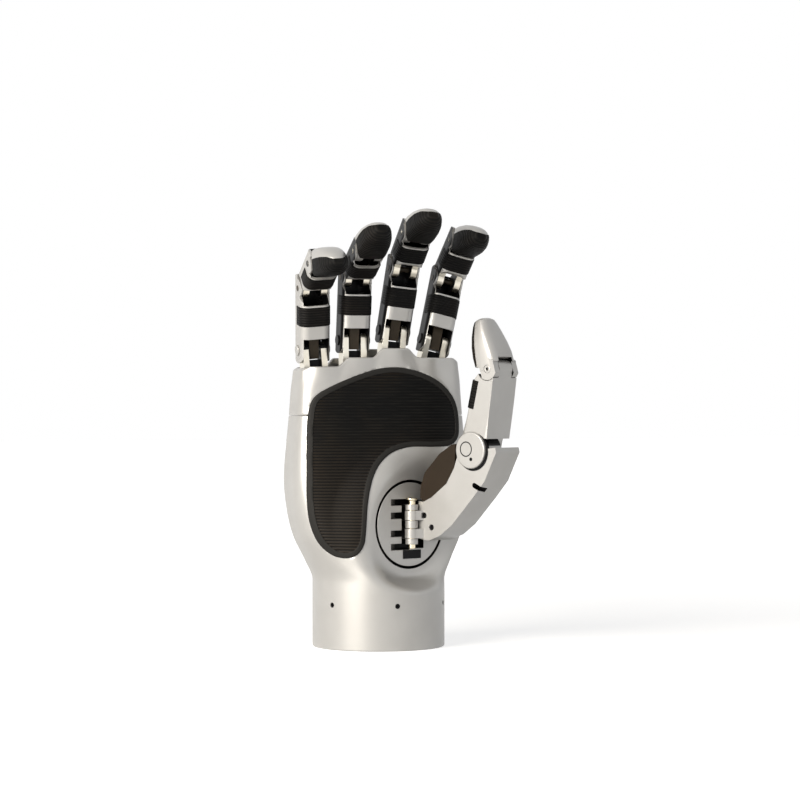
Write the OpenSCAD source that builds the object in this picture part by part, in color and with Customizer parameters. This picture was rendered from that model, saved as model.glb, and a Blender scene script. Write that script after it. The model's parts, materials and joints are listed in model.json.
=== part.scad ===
// Dexterous robot hand: a right hand, palm towards -Y, thumb on the +X side, fingers up (+Z).
// The origin is the centre of the wrist's mounting face. Millimetres and degrees.
// Every moving segment is drawn in its own frame: its pivot at the origin, its axle along X,
// the segment rising along +Z and its pad on the -Y side. A positive bend tips +Z towards -Y.

/* [Wrist] */
// Outside diameter of the wrist collar
wrist_d = 66; // [62:1:70]
// Height of the straight part of the collar
collar_h = 33; // [30:1:36]
// Wall of the collar, the palm housing and the knuckle cover
shell_wall = 2.2; // [1.8:0.1:2.8]
// Height of the radial screws above the mounting face
collar_screw_z = 22; // [18:1:26]
// Shank radius of a radial collar screw
collar_screw_r = 1.25; // [1:0.05:1.5]
// Bolt circle of the mounting flange
flange_pcd = 50; // [44:1:52]
// Tapping radius of the four flange holes
flange_hole_r = 2.5; // [2:0.1:3]
// Radius of the locating dowel hole
dowel_r = 3; // [2:0.5:3]
// Thickness of the flange's floor
flange_floor = 8; // [6:1:10]
// Radius of the cable connector
connector_r = 8; // [6:0.5:10]

/* [Palm] */
// Height of the seam between the palm housing and the knuckle cover
seam_z = 115; // [110:1:118]
// Height of the knuckle cover's rim above each finger's spread pivot
rim_above_base = 11.2; // [9:0.2:12]
// Thickness of the palm pad's rubber that lies below the housing's surface
pad_sink = 1.2; // [0.8:0.1:1.6]
// Height that the palm pad stands proud
pad_proud = 0.8; // [0.4:0.1:1.2]

/* [Fingers] */
// Width of a finger
finger_w = 15.5; // [14:0.5:16.5]
// Thickness of a finger, back to front
finger_t = 14; // [12:0.5:15]
// Corner radius of a finger's section
finger_r = 4.2; // [3:0.2:5]
// Wall of a finger's shell
finger_wall = 1.2; // [1:0.1:1.5]
// Distance between neighbouring spread pivots
finger_pitch = 19.4; // [19:0.1:21]
// From the spread pivot up to the knuckle axle
knuckle_h = 20; // [18:0.5:22]
// From the knuckle axle to the middle axle
proximal_l = 31.5; // [29:0.5:36]
// From the middle axle to the end axle
middle_l = 22; // [20:0.5:26]
// From the end axle to the fingertip
distal_l = 24.5; // [22:0.5:28]
// Largest bend of a finger's middle joint
middle_fold = 95; // [80:1:96]
// Largest bend of a finger's end joint
end_fold = 56; // [52:1:70]
// Radius of the finger axles
axle_r = 1.5; // [1.2:0.1:1.8]
// Radius of the spread pins
spread_pin_r = 2; // [1.5:0.1:2.4]
// Side play between neighbouring parts of a joint
side_gap = 0.3; // [0.2:0.05:0.4]
// Radial play of an axle in a turning hole
axle_play = 0.05; // [0.02:0.01:0.1]

/* [Thumb] */
// Radius of the thumb's rotor
rotor_r = 20.7; // [18:0.1:21]
// Gap between the rotor and the housing's recess
rotor_gap = 1.05; // [0.6:0.05:1.5]
// Thickness of the rotor
rotor_t = 8; // [7:0.5:9]
// Radius of the rotor's rear shaft
rotor_shaft_r = 7; // [6:0.5:8]
// Width of the thumb
thumb_w = 18.4; // [17:0.2:19]
// Radius of the thumb's swing pin
swing_pin_r = 1.8; // [1.4:0.1:2.2]
// From the thumb's middle axle to its end axle
thumb_proximal_l = 40.5; // [38:0.5:44]
// From the thumb's end axle to its tip
thumb_distal_l = 26; // [24:0.5:28]

/* [Hidden] */
$fn = 48;
FINGERS = ["pinky", "ring", "middle", "index"];
FINGER_PARTS = ["knuckle", "knuckle_pins", "proximal_shell", "proximal_pad", "proximal_linkage",
                "middle_shell", "middle_pad", "middle_frame", "distal_shell", "distal_pad"];
PALM_PARTS = ["palm_housing", "knuckle_cover", "palm_pad", "wrist_flange", "wrist_screws",
              "chassis", "actuators", "rotor_bearing", "connector"];
THUMB_PARTS = ["thumb_rotor", "thumb_swing_pin", "thumb_metacarpal", "thumb_metacarpal_pad",
               "thumb_metacarpal_pins", "thumb_proximal_shell", "thumb_proximal_pad",
               "thumb_joint_cap", "thumb_end_axle", "thumb_distal_shell", "thumb_distal_pad"];

// Colours.
silver = [0.78, 0.77, 0.74];
nickel = [0.90, 0.87, 0.78];
rubber = [0.07, 0.07, 0.07];
dark = [0.12, 0.12, 0.13];
steel = [0.62, 0.62, 0.64];

// ---- Rest pose of the fingers: pinky, ring, middle, index.
finger_y = 2;
base_z = [127.9, 132.5, 137.2, 132.6];
base_x = [for (i = [0:3]) -3.2 + finger_pitch * (i - 1.5)];
finger_spread = [-4.9, -0.3, 5.6, 13.4];
knuckle_bend = [14.5, 7.5, 10.5, -4];
middle_bend = [45, 50, 29, 34];
end_bend = [29, 4, 28, 51];

// ---- Rest pose of the thumb.
rotor_centre = [10.4, -17, 61.1];
rotor_yaw = 20;
swing_proud = 1.5;                 // swing axis ahead of the rotor's face
thumb_mcp = [38.9, -44, 98.2];
thumb_yaw = 209;                   // turns +X onto the thumb's axle direction
thumb_proximal_bend = -13.5;
thumb_distal_bend = 30.5;

// ================= helpers =================
// A rectangle with round corners, centred.
module round_rect(w, t, r) {
    square([w - 2 * r, t], center = true);
    square([w, t - 2 * r], center = true);
    for (x = [-1, 1], y = [-1, 1]) translate([x * (w / 2 - r), y * (t / 2 - r)]) circle(r);
}

// Extrudes a side profile, drawn as (Y, Z), along X from x0 to x1.
module side_extrude(x0, x1)
    translate([x0, 0, 0]) rotate([90, 0, 90]) linear_extrude(x1 - x0) children();

// Extrudes a front profile, drawn as (X, Z), along Y from y0 to y1.
module front_extrude(y0, y1)
    translate([0, y1, 0]) rotate([90, 0, 0]) linear_extrude(y1 - y0) children();

// A rod along X through the origin.
module x_rod(r, x0, x1) translate([x0, 0, 0]) rotate([0, 90, 0]) cylinder(r = r, h = x1 - x0);

// A rod along Y through the origin.
module y_rod(r, y0, y1) translate([0, y0, 0]) rotate([-90, 0, 0]) cylinder(r = r, h = y1 - y0);

// Smooth step from 0 to 1.
function ease(t) = let (u = min(1, max(0, t))) u * u * (3 - 2 * u);

// One superellipse outline, as points: half widths a (X) and b (Y), squareness n.
function ring_points(cx, cy, a, b, n, z, count) =
    [for (i = [0:count - 1])
        let (t = 360 * i / count, c = cos(t), s = sin(t))
        [cx + a * sign(c) * pow(abs(c), 2 / n), cy + b * sign(s) * pow(abs(s), 2 / n), z]];

// A closed solid through a list of outlines with the same number of points.
module skin(rings) {
    n = len(rings[0]);
    m = len(rings);
    points = [for (r = rings, p = r) p];
    faces = concat(
        [[for (i = [0:n - 1]) i]],
        [for (k = [0:m - 2], i = [0:n - 1])
            [k * n + i, (k + 1) * n + i, (k + 1) * n + (i + 1) % n]],
        [for (k = [0:m - 2], i = [0:n - 1])
            [k * n + i, (k + 1) * n + (i + 1) % n, k * n + (i + 1) % n]],
        [[for (i = [n - 1:-1:0]) (m - 1) * n + i]]);
    polyhedron(points, faces);
}

// ================= palm =================
// Rows of the palm's form: height, half width, front, back, squareness.
form_base = collar_h - 9;           // the palm's form starts inside the collar
form_r = wrist_d / 2 - 0.4;
palm_rows = [
    [form_base, form_r, -form_r, form_r, 2],
    [collar_h, wrist_d / 2, -wrist_d / 2, wrist_d / 2, 2],
    [43, 36.5, -29.5, 31.5, 2.3],
    [55, 42, -24.5, 28.5, 2.8],
    [69, 45, -20, 26, 3.4],
    [85, 46, -16.5, 24, 4],
    [seam_z, 43.6, -12, 20, 4.6],
    [152, 41.2, -9.5, 17, 5]];

// Catmull-Rom value of column c at height z.
function palm_at(z, c) =
    let (last = len(palm_rows) - 1,
         k = max([for (i = [0:last - 1]) if (palm_rows[i][0] <= z + 0.001) i]),
         a = palm_rows[max(0, k - 1)], b = palm_rows[k], d = palm_rows[k + 1],
         e = palm_rows[min(last, k + 2)],
         h = d[0] - b[0], t = (z - b[0]) / h,
         mb = (d[c] - a[c]) / (d[0] - a[0]) * h * (k == 0 ? 0 : 1),
         md = (e[c] - b[c]) / (e[0] - b[0]) * h)
    b[c] * (2 * pow(t, 3) - 3 * t * t + 1) + mb * (pow(t, 3) - 2 * t * t + t)
    + d[c] * (3 * t * t - 2 * pow(t, 3)) + md * (pow(t, 3) - t * t);

palm_sides = 56;
palm_step = 5.2;
mound_r = 24;                      // the flat mound round the thumb's rotor
mound_fade = 16;                   // over which it runs out into the palm
mound_z = [collar_h - 6, collar_h + 2];  // over which it starts above the collar

// Moves a point of the palm's front onto the mound, flush with the rotor's face.
function on_mound(p, front_share, grow) =
    let (d = p - rotor_centre,
         along = d[0] * cos(rotor_yaw) + d[1] * sin(rotor_yaw),
         ahead = d[0] * sin(rotor_yaw) - d[1] * cos(rotor_yaw),
         share = (1 - ease((norm([along, d[2]]) - mound_r) / mound_fade)) * ease(front_share * 2)
             * ease((p[2] - mound_z[0]) / (mound_z[1] - mound_z[0])),
         move = share * (grow - ahead))
    p + move * [sin(rotor_yaw), -cos(rotor_yaw), 0];

// The palm's form between two heights, grown outwards by grow.
module palm_form(z0, z1, grow) {
    steps = max(1, round((z1 - z0) / palm_step));
    skin([for (k = [0:steps])
        let (z = z0 + (z1 - z0) * pow(k / steps, 1.4),  // closer together near the collar
             front = palm_at(z, 2), back = palm_at(z, 3), middle = (front + back) / 2,
             half = (back - front) / 2 + grow)
        [for (p = ring_points(0, middle, palm_at(z, 1) + grow, half, palm_at(z, 4), z, palm_sides))
            on_mound(p, (middle - p[1]) / half, grow)]]);
}

// Height of the knuckle cover's rim at x: a level stretch below each finger, eased between.
function rim_z(x) =
    let (k = max(0, min(2, floor((x - base_x[0]) / finger_pitch))),
         t = (x - base_x[k]) / finger_pitch, half = 0.33)
    rim_above_base + base_z[k] + (base_z[k + 1] - base_z[k]) * ease((t - half) / (1 - 2 * half));

// What lies above the rim, as a front profile.
module above_rim() {
    reach = 60;
    polygon(concat([for (x = [-reach:1:reach]) [x, rim_z(x)]], [[reach, 190], [-reach, 190]]));
}

// Outline of the palm pad, as (X, Z): along the top, down the thumb side, round the rotor and up.
pad_outline = [
    [10, 138.6], [20, 136.1], [29, 131.6], [36, 124.6], [39, 117.6], [39.5, 108.6], [38, 103.1],
    [33, 99.8], [24, 99.2], [12, 99.2], [3, 97.1], [-4, 92.6], [-9, 86.6], [-12.5, 78.6], [-14.5, 69.6],
    [-15.5, 58.6], [-16.5, 52.1], [-20, 47.1], [-25.5, 45.2], [-31.5, 47.1], [-37, 53.1], [-40.5, 62.6],
    [-41.8, 74.6], [-41.6, 88.6], [-41, 102.6], [-40.2, 113.6], [-38.4, 121.6], [-34.5, 126.1],
    [-27, 130], [-18, 133.8], [-8, 137.1], [1, 138.8]];

module pad_prism(grow) front_extrude(-60, 0) offset(r = grow) polygon(pad_outline);

// The recess that the rotor turns in, open towards the front.
module at_rotor() translate(rotor_centre) rotate([0, 0, rotor_yaw]) children();

recess_floor = rotor_t + 1.5;      // depth of the recess behind the rotor's face

module rotor_recess() at_rotor() y_rod(rotor_r + rotor_gap, -30, recess_floor);

collar_turn = -3;                  // the front collar screw, from straight ahead

module collar_holes(r, inner, outer)
    for (k = [0:5]) rotate([0, 0, 60 * k - 90 + collar_turn]) translate([inner, 0, collar_screw_z])
        rotate([0, 90, 0]) cylinder(r = r, h = outer - inner);

module palm_housing() color(silver) {
    recess_wall = 2;
    difference() {
        union() {
            difference() {
                union() {
                    cylinder(d = wrist_d, h = form_base + 2, $fn = 96);
                    palm_form(form_base, seam_z, 0);
                }
                palm_form(form_base, seam_z, -shell_wall);
                translate([0, 0, -1]) cylinder(r = flange_r, h = form_base + 2);
            }
            intersection() {
                at_rotor() y_rod(rotor_r + rotor_gap + recess_wall, -30, recess_floor + recess_wall);
                palm_form(form_base, seam_z, -shell_wall / 2);
            }
        }
        rotor_recess();
        at_rotor() y_rod(bearing_r, 0, recess_floor + recess_wall + 1);
        collar_holes(collar_screw_r, flange_r - 1, wrist_d / 2 + 1);
        palm_pad_space();
    }
}

// The room that the palm pad takes up in the housing and the cover.
module palm_pad_space() difference() {
    pad_prism(0);
    palm_form(form_base, 152, -pad_sink);
}

module knuckle_cover() color(silver) difference() {
    palm_form(seam_z, 152, 0);
    palm_form(seam_z, 152, -shell_wall);
    front_extrude(-60, 60) above_rim();
    palm_pad_space();
}

module palm_pad() color(rubber) difference() {
    intersection() {
        pad_prism(0);
        palm_form(form_base, 152, pad_proud);
    }
    palm_form(form_base, 152, -pad_sink);
}

// ================= wrist =================
flange_r = wrist_d / 2 - shell_wall;
flange_h = 24.6;                     // height of the flange's cup

module wrist_flange() color(dark) {
    wall = 4;
    difference() {
        cylinder(r = flange_r, h = flange_h);
        translate([0, 0, flange_floor]) cylinder(r = flange_r - wall, h = flange_h);
        for (k = [0:3]) rotate([0, 0, 45 + 90 * k]) translate([flange_pcd / 2, 0, -1])
            cylinder(r = flange_hole_r, h = flange_floor + 2);
        translate([0, -flange_pcd / 2, -1]) cylinder(r = dowel_r, h = flange_floor + 2);
        translate([0, 0, -1]) cylinder(r = connector_r, h = flange_floor + 2);
        collar_holes(collar_screw_r, flange_r - wall - 1, flange_r + 1);
    }
}

module wrist_screws() color(dark) {
    tip = flange_r - 3.5;
    socket_d = 1.4;
    for (k = [0:5]) rotate([0, 0, 60 * k - 90 + collar_turn]) translate([tip, 0, collar_screw_z]) rotate([0, 90, 0])
        difference() {
            cylinder(r = collar_screw_r, h = wrist_d / 2 - 0.3 - tip);
            translate([0, 0, wrist_d / 2 - 1.5 - tip]) cylinder(d = socket_d, h = 3, $fn = 6);
        }
}

module connector() color(steel) difference() {
    union() {
        cylinder(r = connector_r, h = flange_floor + 8);
        translate([0, 0, flange_floor]) cylinder(r = connector_r + 2, h = 2.5);
    }
    translate([0, 0, -1]) cylinder(r = connector_r - 1.5, h = 9);
    for (k = [0:7]) rotate([0, 0, 45 * k]) translate([connector_r - 4, 0, 7]) cylinder(r = 0.5, h = 20);
}

// ================= inside the palm =================
bearing_r = 11;
bearing_h = 8;
bearing_y = recess_floor + 2;      // the bearing's front, behind the rotor's face
yoke_in = 7.2;                     // from the fingers' plane to the yoke plates
yoke_t = 2;
yoke_half = 36;
yoke_drop = 14;                    // how far the plates reach below the seam
spine_half = 24;
bar_t = 4;                         // cross bars between the plates and at the flange
shaft_room = 1;                    // round the rotor's shaft behind its bearing

// The top edge of the two yoke plates, a little under the cover's rim.
module yoke_profile() difference() {
    translate([-yoke_half, seam_z - yoke_drop]) square([2 * yoke_half, 60]);
    translate([0, -5]) above_rim();
}

module chassis() color(dark) {
    spine_y = finger_y + yoke_in;
    difference() {
        union() {
            for (y = [finger_y - yoke_in - yoke_t, finger_y + yoke_in])
                front_extrude(y, y + yoke_t) yoke_profile();
            translate([-yoke_half, finger_y - yoke_in - yoke_t, seam_z - yoke_drop])
                cube([2 * yoke_half, 2 * (yoke_in + yoke_t), bar_t]);
            translate([-spine_half, spine_y, flange_h])
                cube([2 * spine_half, yoke_t, seam_z - yoke_drop + 1 - flange_h]);
            translate([-spine_half, spine_y - 10, flange_h]) cube([2 * spine_half, 10 + yoke_t, bar_t]);
            at_rotor() y_rod(bearing_r + 2.5, bearing_y, 26);
        }
        // the front plate's ends follow the cover's round corners
        for (s = [-1, 1]) translate([0, finger_y - yoke_in - yoke_t, seam_z - 20]) linear_extrude(60)
            polygon([[(yoke_half - 8) * s, -0.1], [(yoke_half + 2) * s, -1], [(yoke_half + 2) * s, yoke_t + 0.6]]);
        at_rotor() y_rod(bearing_r, bearing_y - 1, bearing_y + bearing_h);
        at_rotor() y_rod(rotor_shaft_r + shaft_room, bearing_y, bearing_y + bearing_h + 5);
        for (i = [0:3]) at_knuckle(i) y_rod(spread_pin_r + axle_play, -16, 16);
    }
}

module rotor_bearing() color(steel) at_rotor() difference() {
    y_rod(bearing_r, bearing_y, bearing_y + bearing_h);
    y_rod(rotor_shaft_r + axle_play, bearing_y - 1, bearing_y + bearing_h + 1);
}

module actuators() color(steel) {
    count = 7;
    pitch = 9.6;
    r = 4.2;
    shaft_r = 1.2;
    l = 36;
    low_z = 56;
    for (k = [0:count - 1]) translate([(k - (count - 1) / 2) * pitch, finger_y + yoke_in + yoke_t + r, low_z]) {
        cylinder(r = r, h = l);
        cylinder(r = shaft_r, h = seam_z - yoke_drop - low_z);
    }
}

// ================= fingers =================
// Frames of a finger's four bodies.
module at_knuckle(i)
    translate([base_x[i], finger_y, base_z[i]]) rotate([0, finger_spread[i], 0]) children();
module at_proximal(i)
    at_knuckle(i) translate([0, 0, knuckle_h]) rotate([knuckle_bend[i], 0, 0]) children();
module at_middle(i)
    at_proximal(i) translate([0, 0, proximal_l]) rotate([middle_bend[i], 0, 0]) children();
module at_distal(i)
    at_middle(i) translate([0, 0, middle_l]) rotate([end_bend[i], 0, 0]) children();

half_t = finger_t / 2;
half_w = finger_w / 2;
inner_w = finger_w - 2 * finger_wall;              // between a shell's side walls
lug_out = inner_w / 2 - side_gap;                  // outer face of an inner lug
lug_in = 3;                                        // inner face of an inner lug
link_half = lug_in - side_gap - 0.2;               // half width of the links between the lugs
ear_r = 4.8;                                       // round end of a lug or an ear
swing_gap = 0.35;                                  // play between a round knuckle and its neighbour
fold_play = 3;                                     // angle left open at the largest bend
middle_cut = half_t * tan((middle_fold + fold_play) / 2);  // rise of the palm-side notches
end_cut = half_t * tan((end_fold + fold_play) / 2);        // beside the middle and the end axle
band_z = 6.6;                                      // lower edge of the proximal band
pad_z = 13;                                        // lower edge of the proximal pad
pad_edge = 0.8;                                    // strip of shell beside a pad
pad_sunk = 0.65;                                   // depth of a pad's pocket
pad_out = 0.3;                                     // how far a pad stands proud

// The side profile of a shell's upper end round an axle at height l, notched by cut, from z0.
module end_profile(z0, l, cut) {
    difference() {
        translate([-half_t, z0]) square([finger_t, l - z0]);
        polygon([[0, l], [-2 * half_t, l - 2 * cut], [-2 * half_t, l + 1], [0, l + 1]]);
    }
    translate([0, l]) intersection() {
        circle(half_t);
        translate([0, -half_t]) square([half_t, finger_t]);
    }
    translate([0, l]) circle(ear_r);
}

// What a shell leaves free round its own lower axle, on the palm side up to cut.
module start_room(cut) {
    circle(half_t + swing_gap);
    polygon([[0, 0], [-2 * half_t, 2 * cut], [-2 * half_t, -2 * half_t], [half_t, -2 * half_t]]);
}

module lug_profile(z1) {
    circle(ear_r);
    translate([-3.6, 0]) square([7.2, z1]);
}

// The proximal shell has a round lower end that hangs below its axle.
module proximal_shell() color(silver) difference() {
    intersection() {
        translate([0, 0, -half_t]) linear_extrude(proximal_l + 2 * half_t)
            round_rect(finger_w, finger_t, finger_r);
        side_extrude(-half_w, half_w) {
            end_profile(0, proximal_l, middle_cut);
            circle(half_t - 0.5);
        }
    }
    // the hollow, and the opening on the palm side below the band
    translate([0, 0, -finger_t]) linear_extrude(proximal_l + 2 * finger_t) hollow();
    translate([-inner_w / 2, -finger_t, -finger_t]) cube([inner_w, finger_t, finger_t + band_z]);
    translate([-inner_w / 2, 0, -finger_t]) cube([inner_w, half_t - finger_wall, finger_t + 3]);
    // the middle segment's lugs turn between the side walls
    translate([-inner_w / 2, -finger_t, proximal_l - middle_cut]) cube([inner_w, 1.4 * finger_t, 2 * finger_t]);
    x_rod(axle_r + axle_play, -finger_w, finger_w);
    translate([0, 0, proximal_l]) x_rod(axle_r, -finger_w, finger_w);
    pad_pocket(pad_z, proximal_l - middle_cut - pad_edge);
}

// The inside of a shell.
module hollow() round_rect(inner_w, finger_t - 2 * finger_wall, finger_r - finger_wall);

// The room that a wrap-round pad takes up on the palm side of a segment.
module pad_pocket(z0, z1) difference() {
    translate([-finger_w, -finger_t, z0]) cube([2 * finger_w, finger_t + 1, z1 - z0]);
    translate([0, 0, z0 - 1]) linear_extrude(z1 - z0 + 2)
        round_rect(finger_w - 2 * pad_sunk, finger_t - 2 * pad_sunk, finger_r - pad_sunk);
}

// A pad that wraps round the palm side of a segment and stands a little proud.
module wrap_pad(z0, z1) color(rubber) intersection() {
    translate([0, 0, z0]) linear_extrude(z1 - z0) difference() {
        round_rect(finger_w + 2 * pad_out, finger_t + 2 * pad_out, finger_r + pad_out);
        round_rect(finger_w - 2 * pad_sunk, finger_t - 2 * pad_sunk, finger_r - pad_sunk);
    }
    translate([-finger_w, -finger_t, z0]) cube([2 * finger_w, finger_t + 1, z1 - z0]);
}

// The two posts that carry the proximal segment, on a barrel that turns on the spread pin.
post_r = 3.4;

module knuckle() color(nickel) difference() {
    union() {
        y_rod(6.2, -5.2, 5.2);
        for (s = [-1, 1]) side_extrude(s > 0 ? lug_in + 0.2 : -lug_out, s > 0 ? lug_out : -lug_in - 0.2) {
            translate([-post_r, 0]) square([2 * post_r, knuckle_h]);
            translate([0, knuckle_h]) circle(post_r);
        }
    }
    y_rod(spread_pin_r, -half_t, half_t);
    translate([0, 0, knuckle_h]) x_rod(axle_r, -finger_w, finger_w);
}

// The spread pin, and the knuckle axle with its two caps.
module knuckle_pins() color(steel) {
    cap_r = 2.7;
    cap_t = 0.6;
    y_rod(spread_pin_r, -yoke_in - yoke_t + 0.7, yoke_in + yoke_t - 0.7);
    translate([0, 0, knuckle_h]) {
        x_rod(axle_r, -half_w - cap_t, half_w + cap_t);
        for (x = [-half_w - 0.1 - cap_t, half_w + 0.1]) x_rod_at(x, cap_r, cap_t);
    }
}

module x_rod_at(x, r, l) x_rod(r, x, x + l);

// The flat drive link between the posts, and the axle of the middle joint.
module proximal_linkage() color(dark) {
    difference() {
        side_extrude(-link_half, link_half)
            translate([-2.5, -4.5]) square([5, proximal_l - half_t - swing_gap + 1.5]);
        x_rod(axle_r + axle_play, -finger_w, finger_w);
    }
    translate([0, 0, proximal_l]) x_rod(axle_r, -half_w - 0.2, half_w + 0.2);
}

module lugs(z1) for (x = [-lug_out, lug_in])
    side_extrude(x, x + lug_out - lug_in) lug_profile(z1);

module middle_shell() color(silver) difference() {
    intersection() {
        linear_extrude(middle_l + finger_t) round_rect(finger_w, finger_t, finger_r);
        side_extrude(-half_w, half_w) difference() {
            end_profile(0, middle_l, end_cut);
            start_room(middle_cut);
        }
    }
    linear_extrude(middle_l + 2 * finger_t) hollow();
    translate([-inner_w / 2, -finger_t, middle_l - end_cut]) cube([inner_w, 1.4 * finger_t, 2 * finger_t]);
    translate([0, 0, middle_l]) x_rod(axle_r, -finger_w, finger_w);
    pad_pocket(middle_cut + pad_edge, middle_l - end_cut - pad_edge);
}

frame_z = half_t + 1;              // where a segment's inner frame starts to fill its shell
frame_t = 3;

// The inner frame that the middle shell sits on: two lugs, a bridge and the coupling bar,
// and the axle of the end joint.
module middle_frame() color(dark) {
    fit = 0.02;
    difference() {
        union() {
            lugs(frame_z + frame_t);
            translate([0, 0, frame_z]) linear_extrude(frame_t) offset(delta = -fit) hollow();
            translate([-link_half, -2, frame_z])
                cube([2 * link_half, 4, middle_l - half_t - swing_gap - frame_z]);
        }
        x_rod(axle_r + axle_play, -finger_w, finger_w);
    }
    translate([0, 0, middle_l]) x_rod(axle_r, -half_w - 0.2, half_w + 0.2);
}

// Rows of a fingertip's form, as shares of its length: half width, back, front, squareness.
tip_rows = [[0.00, 1.00, 1.00, 1.00, 3.6], [0.30, 1.00, 1.00, 1.02, 3.4], [0.50, 0.98, 0.93, 1.04, 3.0],
            [0.68, 0.90, 0.78, 1.00, 2.6], [0.82, 0.76, 0.58, 0.88, 2.4], [0.92, 0.56, 0.36, 0.68, 2.3],
            [0.98, 0.32, 0.12, 0.44, 2.2], [1.00, 0.16, -0.02, 0.28, 2.1]];

module tip_form(w, t, l, grow) skin([for (r = tip_rows)
    let (back = (t / 2) * r[2] + grow, front = -(t / 2) * r[3] - grow)
    ring_points(0, (front + back) / 2, (w / 2) * r[1] + grow, (back - front) / 2, r[4], l * r[0], 28)]);

// The part of a fingertip that the pad takes: the palm side and the very tip.
module tip_pad_profile(t, l, z0) polygon([
    [-t, z0], [0.06 * t, z0 + 0.8], [0.12 * t, l * 0.45], [0.13 * t, l * 0.7],
    [0.10 * t, l * 0.86], [0.02 * t, l * 0.97], [-0.02 * t, l + 2], [-t, l + 2]]);

module distal_shell() color(silver) difference() {
    union() {
        difference() {
            tip_form(finger_w, finger_t, distal_l, 0);
            side_extrude(-finger_w, finger_w) {
                start_room(end_cut);
                tip_pad_profile(finger_t, distal_l, 0);
            }
        }
        lugs(frame_z);
    }
    translate([-lug_in, -4, 0]) cube([2 * lug_in, 7, frame_z]);
    x_rod(axle_r + axle_play, -finger_w, finger_w);
}

module distal_pad() color(rubber) difference() {
    intersection() {
        tip_form(finger_w, finger_t, distal_l, pad_out);
        side_extrude(-finger_w, finger_w) tip_pad_profile(finger_t, distal_l, 0);
    }
    translate([0, 0, pad_edge / 2]) side_extrude(-finger_w, finger_w) start_room(end_cut);
    lugs(frame_z);
}

// ================= thumb =================
module at_thumb() translate(thumb_mcp) rotate([0, 0, thumb_yaw]) children();
module at_thumb_proximal() at_thumb() rotate([thumb_proximal_bend, 0, 0]) children();
module at_thumb_distal()
    at_thumb_proximal() translate([0, 0, thumb_proximal_l]) rotate([thumb_distal_bend, 0, 0]) children();
module at_swing() at_rotor() translate([0, -swing_proud, 0]) children();

rotor_lugs = [[-9.8, -7.1], [-1.9, 1.9], [7.1, 9.8]];   // along the swing axis
thumb_barrels = [[-6.8, -2.2], [2.2, 6.8]];
pin_half = 12;
swing_cap_r = 2.8;                  // head of the swing pin
swing_cap_h = 1;
swing_cap_play = 0.1;
barrel_r = 3.4;
arm_turn = -22;                     // of the barrels' arms, from the swing frame
arm_half = barrel_r - 0.3;          // an arm is a little slimmer than its barrel
arm_l = 9;
lug_r = barrel_r - 0.3;
thumb_half = thumb_w / 2;
thumb_axle_r = 2;
hub_r = 9;                          // round end of the proximal segment at the middle axle
tongue_r = hub_r - 1.6;             // round end of the metacarpal's tongue between its cheeks
tongue = 4.6;                       // half width of the tongue
end_r = 5.4;                        // round end of the distal segment's cheeks
end_tongue = 5;                     // half width of the proximal segment's end tongue
swing_open = 11;                    // room behind the metacarpal for swinging outwards

module thumb_rotor() color(silver) {
    pocket_l = 5.2;
    pocket_r = 9;
    pocket_d = 6;
    slot_l = 12;
    slot_h = 3.2;
    lug_depth = pocket_d + 1;
    at_rotor() difference() {
        union() {
            difference() {
                y_rod(rotor_r, 0, rotor_t);
                // the pocket round the swing pin, with slots that run to the side
                translate([-pocket_l, -1, -pin_half]) cube([pocket_l + pocket_r, pocket_d + 1, 2 * pin_half]);
                for (z = [-11, -4.45, 4.45, 11]) translate([-slot_l, -1, z - slot_h / 2])
                    cube([slot_l, pocket_d, slot_h]);
            }
            for (z = rotor_lugs) translate([0, -swing_proud, z[0]]) {
                cylinder(r = lug_r, h = z[1] - z[0]);
                translate([-2.2, 0, 0]) cube([4.4, swing_proud + lug_depth, z[1] - z[0]]);
            }
            y_rod(rotor_shaft_r, rotor_t, bearing_y + bearing_h + 1);
        }
        translate([0, -swing_proud, -pin_half]) cylinder(r = swing_pin_r, h = 2 * pin_half + 1);
        translate([0, -swing_proud, pin_half]) cylinder(r = swing_cap_r + swing_cap_play, h = swing_cap_h + swing_cap_play);
    }
}

module thumb_swing_pin() color(nickel) at_swing() {
    translate([0, 0, -pin_half]) cylinder(r = swing_pin_r, h = 2 * pin_half);
    translate([0, 0, pin_half]) cylinder(r = swing_cap_r, h = swing_cap_h);
}

// Outlines of the metacarpal and its pad, as (Y, Z) in the thumb's frame.
metacarpal_outline = [
    [-36.8, -33], [-36.6, -40], [-33, -44.3], [-27.5, -45], [-20.3, -42.3], [-12.8, -37], [-5.4, -29.4],
    [0.8, -23], [8, -15], [12.8, -5.6], [15.2, -1], [14.6, 1.4], [10, 0.8], [-8, 0], [-11.2, -9],
    [-16, -16.6], [-25.6, -23.6], [-31, -26], [-34.5, -25.5], [-36, -28]];
metacarpal_pad_outline = [
    [-11.2, -9], [-16, -16.6], [-25.6, -23.6], [-31, -26], [-33.4, -24], [-33.2, -18.6], [-30.4, -11.4],
    [-21, -2], [-13.4, 2.5], [-10.6, 3]];
screw_places = [[-30.3, -32.6], [-25.6, -38.4]];
screw_r = 1.5;
screw_l = 3;

// What the metacarpal leaves free for the rotor, its lugs and a swing outwards.
module swing_room() at_swing() {
    rotate([0, 0, -swing_open]) translate([-40, 0, -60]) cube([80, 60, 120]);
    cylinder(r = barrel_r + 0.2, h = 4 * pin_half, center = true);
}

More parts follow.
